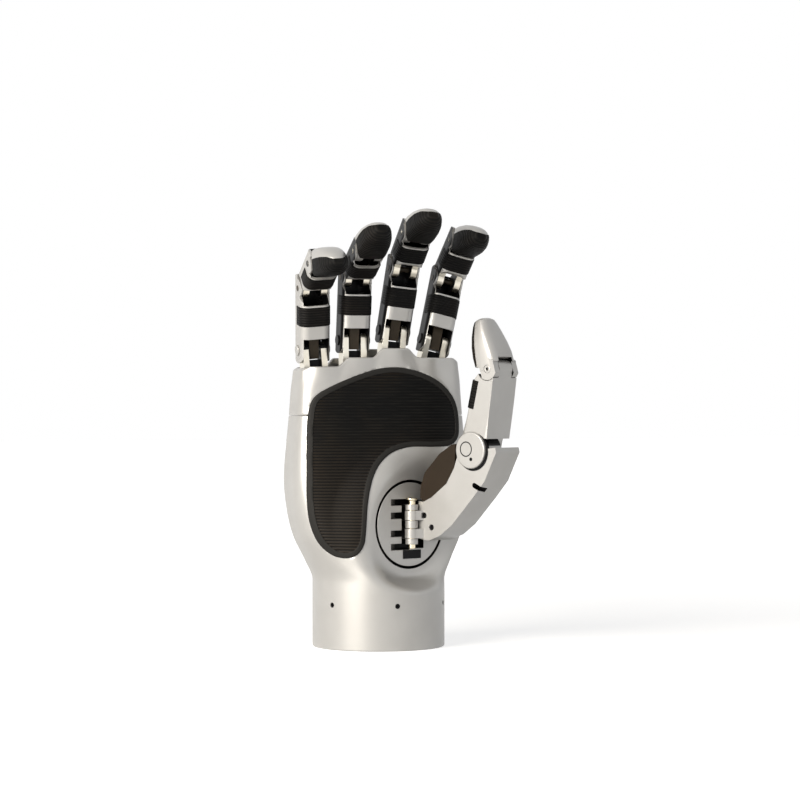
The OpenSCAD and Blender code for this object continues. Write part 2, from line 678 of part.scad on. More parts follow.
module thumb_metacarpal() color(silver) difference() {
    union() {
        difference() {
            at_thumb() difference() {
                side_extrude(-thumb_half, thumb_half) polygon(metacarpal_outline);
                x_rod(hub_r + 0.6, -thumb_w, thumb_w);
                translate([-thumb_w, -hub_r - 5, 1]) cube([2 * thumb_w, 20, 30]);
            }
            swing_room();
        }
        at_thumb() side_extrude(-tongue, tongue) {
            circle(tongue_r);
            polygon([[-6, -3], [5, -5.5], [4, -16], [-12, -14]]);
        }
        // barrels on the swing pin, each with an arm into the body
        for (b = thumb_barrels) at_swing() translate([0, 0, b[0]]) linear_extrude(b[1] - b[0]) {
            circle(barrel_r);
            rotate(arm_turn) translate([0, -arm_half]) square([arm_l, 2 * arm_half]);
        }
    }
    for (b = thumb_barrels) at_swing() translate([0, 0, b[0] - 1])
        cylinder(r = swing_pin_r + axle_play, h = b[1] - b[0] + 2);
    at_thumb() {
        x_rod(thumb_axle_r, -thumb_w, thumb_w);
        for (p = screw_places) translate([0, p[0], p[1]]) x_rod(screw_r, thumb_half - screw_l, thumb_half + 1);
    }
}

module thumb_metacarpal_pad() color(rubber) difference() {
    at_thumb() difference() {
        side_extrude(-thumb_half + 0.4, thumb_half - 0.4) polygon(metacarpal_pad_outline);
        x_rod(hub_r + 0.9, -thumb_w, thumb_w);
    }
    swing_room();
}

// The axle of the middle joint, and the two screws in the metacarpal's side.
module thumb_metacarpal_pins() color(dark) at_thumb() {
    x_rod(thumb_axle_r, -thumb_half - 0.4, thumb_half - 0.2);
    for (p = screw_places) translate([0, p[0], p[1]]) x_rod(screw_r, thumb_half - screw_l, thumb_half - 0.6);
}

thumb_pad_z = 19.5;                 // lower edge of the proximal pad
thumb_pad_l = 14;
thumb_pad_y = [-8.4, -3.6];

// The thumb's proximal segment before its joints and its pad are cut.
module thumb_proximal_body() {
    top = thumb_proximal_l;
    intersection() {
        linear_extrude(top) round_rect(thumb_w, 2 * hub_r - 0.8, 2.6);
        side_extrude(-thumb_w, thumb_w)
            polygon([[-hub_r + 0.6, 3], [-6.8, 13], [-6.2, top - 6], [-4.6, top - 3.4], [-4.6, top - 0.1],
                     [4.6, top - 0.1], [4.8, top - 4], [5.6, top - 12], [7, 12], [8.2, 3]]);
    }
    x_rod(hub_r, -thumb_half, thumb_half);
    translate([0, 0, top]) x_rod(4.6, -thumb_half, thumb_half);
}

module thumb_proximal_shell() color(silver) at_thumb_proximal() difference() {
    thumb_proximal_body();
    // room for the metacarpal's tongue, between the two cheeks
    side_extrude(-tongue - side_gap, tongue + side_gap) {
        circle(tongue_r + swing_gap + 0.2);
        polygon([[-20, -20], [20, -20], [20, 8], [8, 7.5], [-6.5, 5], [-20, -2]]);
    }
    translate([-thumb_w, 3.4, -20]) cube([2 * thumb_w, 20, 27.5]);
    // room for the distal segment's cheeks, beside the end tongue
    for (x = [end_tongue, -end_tongue - thumb_w]) translate([0, 0, thumb_proximal_l])
        x_rod_at(x, end_r + swing_gap, thumb_w);
    x_rod(thumb_axle_r + axle_play, -thumb_w, thumb_w);
    translate([0, 0, thumb_proximal_l]) x_rod(thumb_axle_r, -thumb_w, thumb_w);
    translate([-thumb_w, thumb_pad_y[0] - 1, thumb_pad_z])
        cube([2 * thumb_w, thumb_pad_y[1] - thumb_pad_y[0] + 1, thumb_pad_l]);
}

module thumb_proximal_pad() color(rubber) at_thumb_proximal() intersection() {
    translate([-thumb_w, thumb_pad_y[0], thumb_pad_z])
        cube([2 * thumb_w, thumb_pad_y[1] - thumb_pad_y[0], thumb_pad_l]);
    translate([0, thumb_pad_y[0] + hub_r, 0]) linear_extrude(thumb_proximal_l)
        round_rect(thumb_w + 2 * pad_out, 2 * hub_r, 2.6);
}

module thumb_joint_cap() color(nickel) at_thumb_proximal() difference() {
    ring_r = 3.9;
    x_rod_at(thumb_half, hub_r, 1.5);
    difference() {
        x_rod_at(thumb_half + 1, ring_r + 0.25, 1);
        x_rod_at(thumb_half, ring_r - 0.25, 3);
    }
}

module thumb_end_axle() color(steel) at_thumb_proximal() translate([0, 0, thumb_proximal_l])
    difference() {
        x_rod(thumb_axle_r, -thumb_half + 0.1, thumb_half - 0.1);
        x_rod_at(thumb_half - 1.2, 0.8, 2);
    }

// Rows of the thumb tip's form, as shares of its length: height, half width, back, front, squareness.
thumb_tip_rows = [
    [0, 1, 0.68, 0.98, 4.5], [0.12, 1, 0.72, 1.08, 4.4], [0.3, 0.99, 0.72, 1.12, 4.2],
    [0.5, 0.94, 0.62, 1.08, 3.8], [0.7, 0.84, 0.48, 0.96, 3.4], [0.88, 0.7, 0.34, 0.78, 3],
    [0.96, 0.6, 0.26, 0.66, 2.7], [1, 0.42, 0.1, 0.48, 2.4]];
thumb_tip_depth = 7.6;

module thumb_tip_form(grow) skin([for (r = thumb_tip_rows)
    let (back = thumb_tip_depth * r[2] + grow, front = -thumb_tip_depth * r[3] - grow)
    ring_points(0, (front + back) / 2, thumb_half * r[1] + grow, (back - front) / 2, r[4],
                thumb_distal_l * r[0], 28)]);

module thumb_tip_pad_profile() polygon([
    [-20, 2.4], [-6, 3.4], [-5.2, 9], [-4.6, 15], [-3.6, 21], [-2.8, thumb_distal_l + 2],
    [-20, thumb_distal_l + 2]]);

module thumb_distal_shell() color(silver) at_thumb_distal() difference() {
    union() {
        thumb_tip_form(0);
        x_rod(end_r, -thumb_half + 0.2, thumb_half - 0.2);
    }
    side_extrude(-end_tongue - side_gap, end_tongue + side_gap) {
        circle(5.2);
        polygon([[-20, -20], [20, -20], [20, 1], [6, 4.6], [-6, 4.6], [-20, 1]]);
    }
    // both edges clear the proximal segment's end
    side_extrude(-thumb_w, thumb_w) {
        polygon([[4.4, -10], [4.4, 2.6], [20, 2.6], [20, -10]]);
        polygon([[-4.4, -10], [-4.4, 1.9], [-20, 8.6], [-20, -10]]);
    }
    side_extrude(-20, 20) thumb_tip_pad_profile();
    x_rod(thumb_axle_r + axle_play, -20, 20);
}

module thumb_distal_pad() color(rubber) at_thumb_distal() difference() {
    intersection() {
        thumb_tip_form(pad_out);
        side_extrude(-thumb_w, thumb_w) thumb_tip_pad_profile();
    }
    side_extrude(-thumb_w, thumb_w) circle(end_r + 0.9);
}

palm_housing();
knuckle_cover();
palm_pad();
wrist_flange();
wrist_screws();
chassis();
actuators();
rotor_bearing();
connector();
thumb_rotor();
thumb_swing_pin();
thumb_metacarpal();
thumb_metacarpal_pad();
thumb_metacarpal_pins();
thumb_proximal_shell();
thumb_proximal_pad();
thumb_joint_cap();
thumb_end_axle();
thumb_distal_shell();
thumb_distal_pad();
for (i = [0:3]) {
    at_knuckle(i) knuckle();
    at_knuckle(i) knuckle_pins();
    at_proximal(i) proximal_shell();
    at_proximal(i) wrap_pad(pad_z, proximal_l - middle_cut - pad_edge);
    at_proximal(i) proximal_linkage();
    at_middle(i) middle_shell();
    at_middle(i) wrap_pad(middle_cut + pad_edge, middle_l - end_cut - pad_edge);
    at_middle(i) middle_frame();
    at_distal(i) distal_shell();
    at_distal(i) distal_pad();
}
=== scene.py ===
import json
import math

import bmesh
import bpy
import numpy as np
from mathutils import Matrix, Vector
from mathutils.geometry import delaunay_2d_cdt


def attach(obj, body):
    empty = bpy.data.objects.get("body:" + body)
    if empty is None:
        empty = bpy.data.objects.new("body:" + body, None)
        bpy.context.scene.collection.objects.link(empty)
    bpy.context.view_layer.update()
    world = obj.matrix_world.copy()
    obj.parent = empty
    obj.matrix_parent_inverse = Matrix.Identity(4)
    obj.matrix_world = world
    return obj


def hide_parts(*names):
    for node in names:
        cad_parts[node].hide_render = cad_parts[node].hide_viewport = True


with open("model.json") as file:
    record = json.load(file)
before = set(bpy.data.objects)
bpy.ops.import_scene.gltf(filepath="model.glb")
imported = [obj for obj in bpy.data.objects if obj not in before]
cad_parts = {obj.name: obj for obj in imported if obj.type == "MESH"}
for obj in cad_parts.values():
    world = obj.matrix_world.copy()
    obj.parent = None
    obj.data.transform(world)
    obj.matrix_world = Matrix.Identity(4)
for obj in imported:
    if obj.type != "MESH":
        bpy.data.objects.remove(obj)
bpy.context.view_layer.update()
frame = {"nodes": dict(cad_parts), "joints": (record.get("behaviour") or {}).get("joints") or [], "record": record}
bodyOf = {name: body for body, names in frame["record"]["behaviour"]["bodies"].items() for name in names}
slotOf = {part["node"]: part["material_slot"] for part in frame["record"]["subparts"]}
joints = {joint["name"]: joint for joint in frame["joints"]}
mm = 0.001
upward = Vector((0, 0, 1))
fingers = ("pinky", "ring", "middle", "index")
print("frame loaded")


# --- materials ---

class Wire:                      # a socket; sums and products of wires add Math nodes
    def __init__(self, nodes, socket):
        self.nodes, self.socket = nodes, socket

    def maths(self, operation, *values):
        return self.nodes.node("ShaderNodeMath", {"operation": operation}, values)

    def __add__(self, other):
        return self.maths("ADD", self, other)

    def __mul__(self, other):
        return self.maths("MULTIPLY", self, other)

    def __sub__(self, other):
        return self.maths("SUBTRACT", self, other)

    def __rsub__(self, other):
        return self.maths("SUBTRACT", other, self)

    __radd__, __rmul__ = __add__, __mul__

    def between(self, low, high):
        return self.nodes.node("ShaderNodeMapRange", {"interpolation_type": "SMOOTHSTEP"},
                               {"Value": self, "From Min": low, "From Max": high})


class Nodes:                     # a node tree and what adds to it
    def __init__(self, tree):
        self.tree = tree

    def feed(self, socket, value):
        if isinstance(value, Wire):
            self.tree.links.new(value.socket, socket)
        else:
            socket.default_value = value

    def node(self, kind, settings=None, inputs=(), output=0):
        made = self.tree.nodes.new(kind)
        for key, value in (settings or {}).items():
            setattr(made, key, value)
        for key, value in (inputs.items() if isinstance(inputs, dict) else enumerate(inputs)):
            self.feed(made.inputs[key], value)
        return Wire(self, made.outputs[output])

    def seenRays(self):          # 1 for camera, glossy and transmission rays
        path = self.node("ShaderNodeLightPath")
        seen = path
        for ray in ("Is Glossy Ray", "Is Transmission Ray"):
            seen = seen.maths("MAXIMUM", seen, Wire(self, path.socket.node.outputs[ray]))
        return seen


class Paint(Nodes):              # one material
    def __init__(self, name):
        self.material = bpy.data.materials.new(name)
        self.material.use_nodes = True
        super().__init__(self.material.node_tree)
        self.shader = self.tree.nodes["Principled BSDF"]

    def spot(self):
        return self.node("ShaderNodeTexCoord", output=3)

    def placeAlong(self, direction):
        return self.node("ShaderNodeVectorMath", {"operation": "DOT_PRODUCT"}, {0: self.spot(), 1: direction},
                         output=1)

    def attribute(self, name):
        return self.node("ShaderNodeAttribute", {"attribute_name": name}, output=2)

    def noise(self, scale, detail, stretch=(1, 1, 1)):
        place = self.node("ShaderNodeMapping", {}, {"Vector": self.spot(), "Scale": stretch})
        return self.node("ShaderNodeTexNoise", {}, {"Vector": place, "Scale": scale, "Detail": detail})

    def mix(self, share, first, second):
        return self.node("ShaderNodeMix", {"data_type": "RGBA"}, {0: share, 6: first, 7: second}, output=2)

    def bump(self, height, distance, **inputs):
        return self.node("ShaderNodeBump", {}, {"Height": height, "Distance": distance, **inputs})

    def set(self, **inputs):     # underscores stand for spaces
        for key, value in inputs.items():
            self.feed(self.shader.inputs[key.replace("_", " ")], value)
        return self.material


satin = {"colour": (0.46, 0.455, 0.443, 1), "shade": (0.437, 0.431, 0.419, 1), "roughness": 0.36,
         "metallic": 0.5, "grain": 0.01 * mm}


def satinSilver():
    paint = Paint("satinSilver")
    clouds, grain = paint.noise(60, 4), paint.noise(5200, 2)
    return paint.set(Base_Color=paint.mix(clouds.between(0.35, 0.7), satin["colour"], satin["shade"]),
                     Roughness=clouds * 0.08 + grain * 0.06 + (satin["roughness"] - 0.07),
                     Metallic=satin["metallic"], Specular_IOR_Level=0.3,
                     Normal=paint.bump(grain, satin["grain"]))


def ribbedRubber(name, brown=0.0, pitch=0.0, bordered=False, tone=None):
    paint = Paint(name)
    lines = paint.noise(90, 3, (1, 1, 14))
    dust, grain = paint.noise(35, 4), paint.noise(2600, 2)
    if tone:
        colour = paint.mix(dust.between(0.3, 0.8), (*tone, 1), (*(0.8 * c for c in tone), 1))
    else:
        black = paint.mix(lines.between(0.42, 0.72), (0.0035, 0.0034, 0.0033, 1), (0.011, 0.0105, 0.0095, 1))
        warm = (0.014 + 0.02 * brown, 0.011 + 0.013 * brown, 0.009, 1)
        colour = paint.mix(dust.between(0.45, 0.8), black, warm)
    if bordered:                 # a little browner towards the heel of the hand
        heel = paint.placeAlong((0, 0, 1)).between(0.12, 0.055)
        colour = paint.mix(heel * 0.8, colour, (0.026, 0.021, 0.0165, 1))
    normal = paint.bump(grain, 0.02 * mm)
    if pitch:                    # ribs across the segment, from each point's place along it
        turn = paint.attribute("along") * (2 * math.pi / pitch)
        ridge = turn.maths("SINE", turn) * 0.5 + 0.5
        if bordered:             # the border is smooth, and a painted sheen makes it lighter
            field = paint.attribute("field")
            colour = paint.mix(field, (0.021, 0.0205, 0.0195, 1), colour)
            ridge = ridge * field + (1 - field)
        normal = paint.bump(ridge, 0.22 * mm, Normal=normal)
        # painted shade: the valleys between the ribs are coloured near black
        colour = paint.mix(ridge.between(0.0, 0.7), (0.0012, 0.0012, 0.0012, 1), colour)
    return paint.set(Base_Color=colour, Roughness=lines * 0.15 + grain * 0.1 + 0.42, Specular_IOR_Level=0.1,
                     Normal=normal)


def metal(name, colour, shade, roughness, smear=(1, 1, 1)):
    paint = Paint(name)
    smudge, scratch = paint.noise(110, 4), paint.noise(2200, 2, smear)
    return paint.set(Base_Color=paint.mix(smudge.between(0.3, 0.7), colour, shade), Metallic=1.0,
                     Roughness=smudge * 0.1 + scratch * 0.06 + (roughness - 0.06),
                     Normal=paint.bump(scratch, 0.006 * mm))


def blackFinish(name, colour, roughness, metallic=0.2):
    paint = Paint(name)
    smudge, grain = paint.noise(80, 4), paint.noise(3600, 2)
    return paint.set(Base_Color=paint.mix(smudge, colour, tuple(c * 1.7 for c in colour[:3]) + (1,)),
                     Metallic=metallic, Specular_IOR_Level=0.12, Roughness=smudge * 0.12 + (roughness - 0.06),
                     Normal=paint.bump(grain, 0.01 * mm))


silver = satinSilver()
rubber = ribbedRubber("padRubber", pitch=1.25)
palmRubber = ribbedRubber("palmRubber", brown=0.2, pitch=1.5, bordered=True)
thumbRubber = ribbedRubber("thumbRubber", brown=0.6, pitch=1.4)
leafRubber = ribbedRubber("leafRubber", tone=(0.029, 0.0205, 0.0135))
nickel = metal("nickelPlate", (0.86, 0.82, 0.72, 1), (0.78, 0.72, 0.60, 1), 0.28)
gold = metal("paleBrass", (0.82, 0.74, 0.56, 1), (0.72, 0.63, 0.46, 1), 0.2)
steel = metal("groundSteel", (0.62, 0.62, 0.63, 1), (0.5, 0.5, 0.51, 1), 0.24, (1, 1, 12))
# black for the black parts, and also painted shade in recesses, slots, inner faces and gaps between parts
black = blackFinish("blackAnodised", (0.0045, 0.0045, 0.005, 1), 0.34)
# painted shade: near black for the side walls and pins of ring, middle and index, standing in for their dark
# reflection
darkChrome = blackFinish("darkChrome", (0.009, 0.009, 0.0095, 1), 0.34, 0.3)
umber = blackFinish("umberLink", (0.035, 0.028, 0.02, 1), 0.32)
paintOf = {"silver_shell": silver, "pad_rubber": rubber, "nickel_steel": nickel, "black_metal": black,
           "plain_steel": steel}
print("materials made")


# --- mesh tools ---

def bareObject(name, mesh):
    made = bpy.data.objects.new(name, mesh)
    bpy.context.scene.collection.objects.link(made)
    return made


def addPiece(name, mesh, body, material, replaced=(), crease=30):
    mesh.materials.clear()
    mesh.materials.append(material)
    mesh.shade_smooth()
    mesh.set_sharp_from_angle(angle=math.radians(crease))
    piece = bareObject(name, mesh)
    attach(piece, body)
    if replaced:
        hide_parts(*replaced)
    return piece


def applied(piece, *modifiers):  # puts modifiers on, applies them all and takes them off
    for kind, settings in modifiers:
        modifier = piece.modifiers.new(kind, kind)
        for key, value in settings.items():
            setattr(modifier, key, value)
    depsgraph = bpy.context.evaluated_depsgraph_get()
    mesh = bpy.data.meshes.new_from_object(piece.evaluated_get(depsgraph))
    piece.modifiers.clear()
    old, piece.data = piece.data, mesh
    bpy.data.meshes.remove(old)
    return mesh


def cutBy(piece, cutters):       # takes the cutters out of a piece and throws them away
    mesh = applied(piece, *[("BOOLEAN", {"operation": "DIFFERENCE", "solver": "EXACT", "object": cutter})
                            for cutter in cutters])
    for cutter in cutters:
        bpy.data.objects.remove(cutter)
    return mesh


def levelled(piece):             # broad faces keep their own normals, so flats look flat
    applied(piece, ("WEIGHTED_NORMAL", {"weight": 60, "keep_sharp": True}))
    return piece


def paintFaces(piece, material, test):  # gives a second material to the faces that the test picks
    piece.data.materials.append(material)
    spare = len(piece.data.materials) - 1
    for face in piece.data.polygons:
        if test(face.center / mm, face.normal):
            face.material_index = spare
    return piece


def meshOf(name, points, faces):
    mesh = bpy.data.meshes.new(name)
    mesh.from_pydata([tuple(p) for p in np.asarray(points, float) * mm], [], faces)
    mesh.update()
    return mesh


def squared(mesh):               # faces all turned outwards
    shape = bmesh.new()
    shape.from_mesh(mesh)
    bmesh.ops.recalc_face_normals(shape, faces=shape.faces)
    shape.to_mesh(mesh)
    shape.free()
    return mesh


def tubeFaces(rings, columns):   # from each ring of points to the next
    return [(r * columns + c, r * columns + (c + 1) % columns, (r + 1) * columns + (c + 1) % columns,
             (r + 1) * columns + c) for r in range(rings - 1) for c in range(columns)]


def hoopFaces(rings, columns):   # the same, and from the last ring back to the first
    last = (rings - 1) * columns
    return tubeFaces(rings, columns) + [(last + c, last + (c + 1) % columns, (c + 1) % columns, c)
                                        for c in range(columns)]


def barFaces(columns):           # two rings with both ends closed
    return tubeFaces(2, columns) + [tuple(range(columns))[::-1], tuple(range(columns, 2 * columns))]


def rod(name, radius, start, direction, length, sides):
    axis = Vector(direction).normalized()
    across = axis.orthogonal().normalized()
    other = axis.cross(across)
    turns = [2 * math.pi * k / sides for k in range(sides)]
    points = [Vector(start) + axis * far + (across * math.cos(turn) + other * math.sin(turn)) * radius
              for far in (0, length) for turn in turns]
    return bareObject(name, meshOf(name, points, barFaces(sides)))


def prism(name, outline, start, first, second, along):  # an outline in two directions, drawn out in a third
    points = [start + first * x + second * y + along * far for far in (0, 1) for x, y in outline]
    return squared(meshOf(name, points, barFaces(len(outline))))


def ringOf(radius, count, shift):
    turns = [2 * math.pi * k / count for k in range(count)]
    return [(shift[0] + radius * math.cos(turn), shift[1] + radius * math.sin(turn)) for turn in turns]


def cleanCopy(node, name):       # a CAD node's mesh with its flat facets merged into whole faces
    mesh = bpy.data.meshes.new(name)
    shape = bmesh.new()
    shape.from_mesh(frame["nodes"][node].data)
    bmesh.ops.remove_doubles(shape, verts=shape.verts, dist=0.002 * mm)
    bmesh.ops.dissolve_limit(shape, angle_limit=math.radians(0.6), verts=shape.verts, edges=shape.edges)
    shape.to_mesh(mesh)
    shape.free()
    return mesh


def refined(node, edge=0.3, segments=2, material=None, cutter=None):  # a CAD node with rounded edges
    name = "".join(word if k == 0 else word.capitalize() for k, word in enumerate(node.split("_")))
    piece = bareObject(name, cleanCopy(node, name))
    if cutter:
        cutBy(piece, [cutter])
    mesh = applied(piece, ("BEVEL", {"width": edge * mm, "segments": segments, "limit_method": "ANGLE",
                                     "angle_limit": math.radians(30), "harden_normals": False,
                                     "use_clamp_overlap": True, "miter_outer": "MITER_ARC"}))
    bpy.data.objects.remove(piece)
    slot = slotOf[node]
    return levelled(addPiece(name, mesh, bodyOf[node], material or paintOf[slot], (node,), 40))


# --- palm: the CAD's own form, drawn fine and smooth ---

palm = {"rows": [[33, 33, -33, 33, 2], [43, 36.5, -29.5, 31.5, 2.3], [55, 42, -24.5, 28.5, 2.8],
                 [69, 45, -20, 26, 3.4], [85, 46, -16.5, 24, 4], [115, 43.6, -12, 20, 4.6],
                 [152, 41.2, -9.5, 17, 5]],
        "centre": (10.4, -17, 61.1), "yaw": 20, "mound": 24, "fade": 16, "low": 27, "high": 35, "seam": 115,
        "wall": 2.2, "columns": 320}
rotorTurn = math.radians(palm["yaw"])
rotorCentre = Vector(palm["centre"])
rotorAcross = Vector((math.cos(rotorTurn), math.sin(rotorTurn), 0))
rotorInward = Vector((-math.sin(rotorTurn), math.cos(rotorTurn), 0))
angles = np.linspace(0, 2 * math.pi, palm["columns"], endpoint=False)


def ease(t):
    u = np.clip(t, 0, 1)
    return u * u * (3 - 2 * u)


def palmAt(z, column):           # Catmull-Rom through the rows, level where the collar ends
    rows = np.array(palm["rows"], float)
    heights, values = rows[:, 0], rows[:, column]
    slopes = np.zeros(len(rows))
    slopes[1:-1] = (values[2:] - values[:-2]) / (heights[2:] - heights[:-2])
    slopes[-1] = (values[-1] - values[-2]) / (heights[-1] - heights[-2])
    z = np.maximum(np.asarray(z, float), heights[0])
    k = np.clip(np.searchsorted(heights, z, side="right") - 1, 0, len(rows) - 2)
    h = heights[k + 1] - heights[k]
    t = (z - heights[k]) / h
    return (values[k] * (2 * t ** 3 - 3 * t ** 2 + 1) + slopes[k] * h * (t ** 3 - 2 * t ** 2 + t)
            + values[k + 1] * (3 * t ** 2 - 2 * t ** 3) + slopes[k + 1] * h * (t ** 3 - t ** 2))


def fromRotor(x, y, z):          # across the rotor's face, out of it and up, from its centre
    dx, dy, dz = x - palm["centre"][0], y - palm["centre"][1], z - palm["centre"][2]
    across = dx * math.cos(rotorTurn) + dy * math.sin(rotorTurn)
    return across, dx * math.sin(rotorTurn) - dy * math.cos(rotorTurn), dz


def moundShare(across, rise, z):  # how far the mound round the rotor takes over from the palm's form
    return ((1 - ease((np.hypot(across, rise) - palm["mound"]) / palm["fade"]))
            * ease((z - palm["low"]) / (palm["high"] - palm["low"])))


def palmPoints(angle, z, grow):  # points on the palm's form, seen from its middle at each angle
    angle, z, grow = np.broadcast_arrays(*(np.asarray(value, float) for value in (angle, z, grow)))
    front, back, squareness = palmAt(z, 2), palmAt(z, 3), palmAt(z, 4)
    a, b, middle = palmAt(z, 1) + grow, (back - front) / 2 + grow, (front + back) / 2
    corner = np.abs(np.cos(angle) / a) ** squareness + np.abs(np.sin(angle) / b) ** squareness
    reach = corner ** (-1 / squareness)
    x, y = reach * np.cos(angle), middle + reach * np.sin(angle)
    across, ahead, rise = fromRotor(x, y, z)
    move = moundShare(across, rise, z) * ease((middle - y) / b * 2) * (grow - ahead)
    return np.stack([x + move * math.sin(rotorTurn), y - move * math.cos(rotorTurn), z], axis=-1)


def frontY(x, z, grow):          # the form's front at given places
    x, z = np.asarray(x, float), np.asarray(z, float)
    a, b = palmAt(z, 1) + grow, (palmAt(z, 3) - palmAt(z, 2)) / 2 + grow
    middle, squareness = (palmAt(z, 3) + palmAt(z, 2)) / 2, palmAt(z, 4)
    plain = middle - b * np.clip(1 - np.abs(x / a) ** squareness, 0, 1) ** (1 / squareness)
    flat = (palm["centre"][1] + ((x - palm["centre"][0]) * math.sin(rotorTurn) - grow) / math.cos(rotorTurn))
    y = plain
    for _ in range(4):           # the mound shifts a point sideways too, so it is closed in on
        across, ahead, rise = fromRotor(x, y, z)
        y = plain + moundShare(across, rise, z) * (flat - plain)
    return y


# --- palm pad's outline, which the shells step in below ---

pad = {"sink": 1.25, "proud": 0.78, "border": 2.6, "ribs": 1.5, "depth": 0.2, "groove": 0.42, "low": 46,
       "high": 138.6, "left": -42, "right": 40, "spacing": 1.6, "edgePoints": 420, "outline": [
           (10, 138.6), (20, 136.1), (29, 131.6), (36, 124.6), (39, 117.6), (39.5, 108.6), (38, 103.1),
           (33, 99.8), (24, 99.2), (12, 99.2), (3, 97.1), (-4, 92.6), (-9, 86.6), (-12.5, 78.6), (-14.5, 69.6),
           (-15.5, 58.6), (-16.5, 52.1), (-20, 47.1), (-25.5, 45.2), (-31.5, 47.1), (-37, 53.1), (-40.5, 62.6),
           (-41.8, 74.6), (-41.6, 88.6), (-41, 102.6), (-40.2, 113.6), (-38.4, 121.6), (-34.5, 126.1),
           (-27, 130), (-18, 133.8), (-8, 137.1), (1, 138.8)]}


def smoothLoop(points, count):   # a closed Catmull-Rom curve, evenly spaced
    points = np.array(points, float)
    t = np.linspace(0, 1, 24, endpoint=False)[:, None]
    a, b, c, d = (np.roll(points, k, axis=0) for k in (1, 0, -1, -2))
    first, second, third = c - a, 2 * a - 5 * b + 4 * c - d, 3 * b - a - 3 * c + d
    curve = np.concatenate([0.5 * (2 * b[k] + first[k] * t + second[k] * t ** 2 + third[k] * t ** 3)
                            for k in range(len(points))])
    closed = np.vstack([curve, curve[:1]])
    walked = np.concatenate([[0], np.cumsum(np.hypot(*np.diff(closed, axis=0).T))])
    steps = np.linspace(0, walked[-1], count, endpoint=False)
    return np.stack([np.interp(steps, walked, closed[:, 0]), np.interp(steps, walked, closed[:, 1])], axis=-1)


padEdge = smoothLoop(pad["outline"], pad["edgePoints"])


def depthInside(points):         # how far inside the pad's outline each (x, z) lies, negative outside
    points = np.asarray(points, float)
    x, z = points[:, 0], points[:, 1]
    nearest = np.full(len(points), 1e9)
    inside = np.zeros(len(points), bool)
    for (ax, az), (bx, bz) in zip(padEdge, np.roll(padEdge, -1, axis=0)):
        ux, uz = bx - ax, bz - az
        t = np.clip(((x - ax) * ux + (z - az) * uz) / (ux * ux + uz * uz), 0, 1)
        nearest = np.minimum(nearest, np.hypot(x - ax - t * ux, z - az - t * uz))
        crosses = (az > z) != (bz > z)
        if crosses.any():
            inside ^= crosses & (x < ux * (z - az) / (uz if uz else 1e-9) + ax)
    return np.where(inside, nearest, -nearest)


def underPad(points):            # lets a shell step in below the pad
    deep = depthInside(points.reshape(-1, 3)[:, [0, 2]]).reshape(points.shape[:-1])
    front = points[..., 1] < (palmAt(points[..., 2], 2) + palmAt(points[..., 2], 3)) / 2
    points[..., 1] += np.where(front, pad["sink"] * ease((deep - 0.7) / 0.5), 0)
    return points


rotorHole = {"radius": 22.1, "before": 30, "length": 42, "sides": 160}
collarHoles = {"count": 6, "turn": -93, "radius": 1.3, "start": 28, "length": 8, "height": 22, "sides": 32}


def housing():
    seam, wall = palm["seam"] - 0.09, -palm["wall"]
    rows = [(0, -0.5), (0.5, 0)] + [(z, 0) for z in np.arange(2, seam - 0.9, 1.25)]
    rows += [(seam - 0.35, 0), (seam, -0.3), (seam, -1.9)]
    rows += [(z, wall) for z in np.arange(seam - 2, 2, -3.0)] + [(0, wall)]
    grid = underPad(np.stack([palmPoints(angles, z, grow) for z, grow in rows]))
    faces = hoopFaces(len(rows), palm["columns"])
    piece = bareObject("palmHousing", squared(meshOf("palmHousing", grid.reshape(-1, 3), faces)))
    cutters = [rod("rotorCut", rotorHole["radius"], rotorCentre - rotorInward * rotorHole["before"],
                   rotorInward, rotorHole["length"], rotorHole["sides"])]
    for k in range(collarHoles["count"]):
        turn = math.radians(360 / collarHoles["count"] * k + collarHoles["turn"])
        out = (math.cos(turn), math.sin(turn), 0)
        start = (collarHoles["start"] * out[0], collarHoles["start"] * out[1], collarHoles["height"])
        cutters.append(rod("screwCut", collarHoles["radius"], start, out, collarHoles["length"],
                           collarHoles["sides"]))
    mesh = cutBy(piece, cutters)
    bpy.data.objects.remove(piece)
    addPiece("palmHousing", mesh, "palm", silver, ("palm_housing",), 32)


recess = {"profile": [(22.04, -1.2), (22.04, 9.5), (11, 9.5), (11, 11.4), (23.6, 11.4), (23.6, -1.2)],
          "shift": 1.5, "sides": 128}


def rotorRecess():               # painted shade: a black lining of the hole that the rotor turns in
    turns = [2 * math.pi * k / recess["sides"] for k in range(recess["sides"])]
    points = [rotorCentre + (rotorAcross * math.cos(turn) + upward * math.sin(turn)) * r
              + rotorInward * (y + recess["shift"]) for r, y in recess["profile"] for turn in turns]
    mesh = squared(meshOf("rotorRecess", points, hoopFaces(len(recess["profile"]), recess["sides"])))
    addPiece("rotorRecess", mesh, "palm", black)


rim = {"baseX": (-32.3, -12.9, 6.5, 25.9), "baseZ": (127.9, 132.5, 137.2, 132.6), "rise": 11.2, "pitch": 19.4,
       "drop": 1.7, "middle": -0.4, "level": 38.4, "over": 3.4, "outer": 0.7, "inner": 0.5, "wave": 0.45}


def rimZ(x):                     # a step up or down between each finger's base and the next
    k = np.clip(np.floor((x - rim["baseX"][0]) / rim["pitch"]), 0, 2).astype(int)
    base = np.array(rim["baseZ"])
    t = (x - np.array(rim["baseX"])[k]) / rim["pitch"]
    return rim["rise"] + base[k] + (base[k + 1] - base[k]) * ease((t - 0.33) / 0.34)


def rimAt(x):                    # the rim, rounded down at both ends
    return rimZ(x) - rim["drop"] * ease((np.abs(x - rim["middle"]) - rim["level"]) / rim["over"])


def coverHeights(kind, value, grow):
    z = np.full(len(angles), 125.0)
    for _ in range(4):           # the rim's height depends on where the wall stands
        top = rimAt(palmPoints(angles, z, grow)[:, 0])
        low = palm["seam"] + 0.44
        z = {"seam": palm["seam"] + value + 0 * top, "rim": top + value,
             "wall": low + value * (top - rim["outer"] - low)}[kind]
    return z


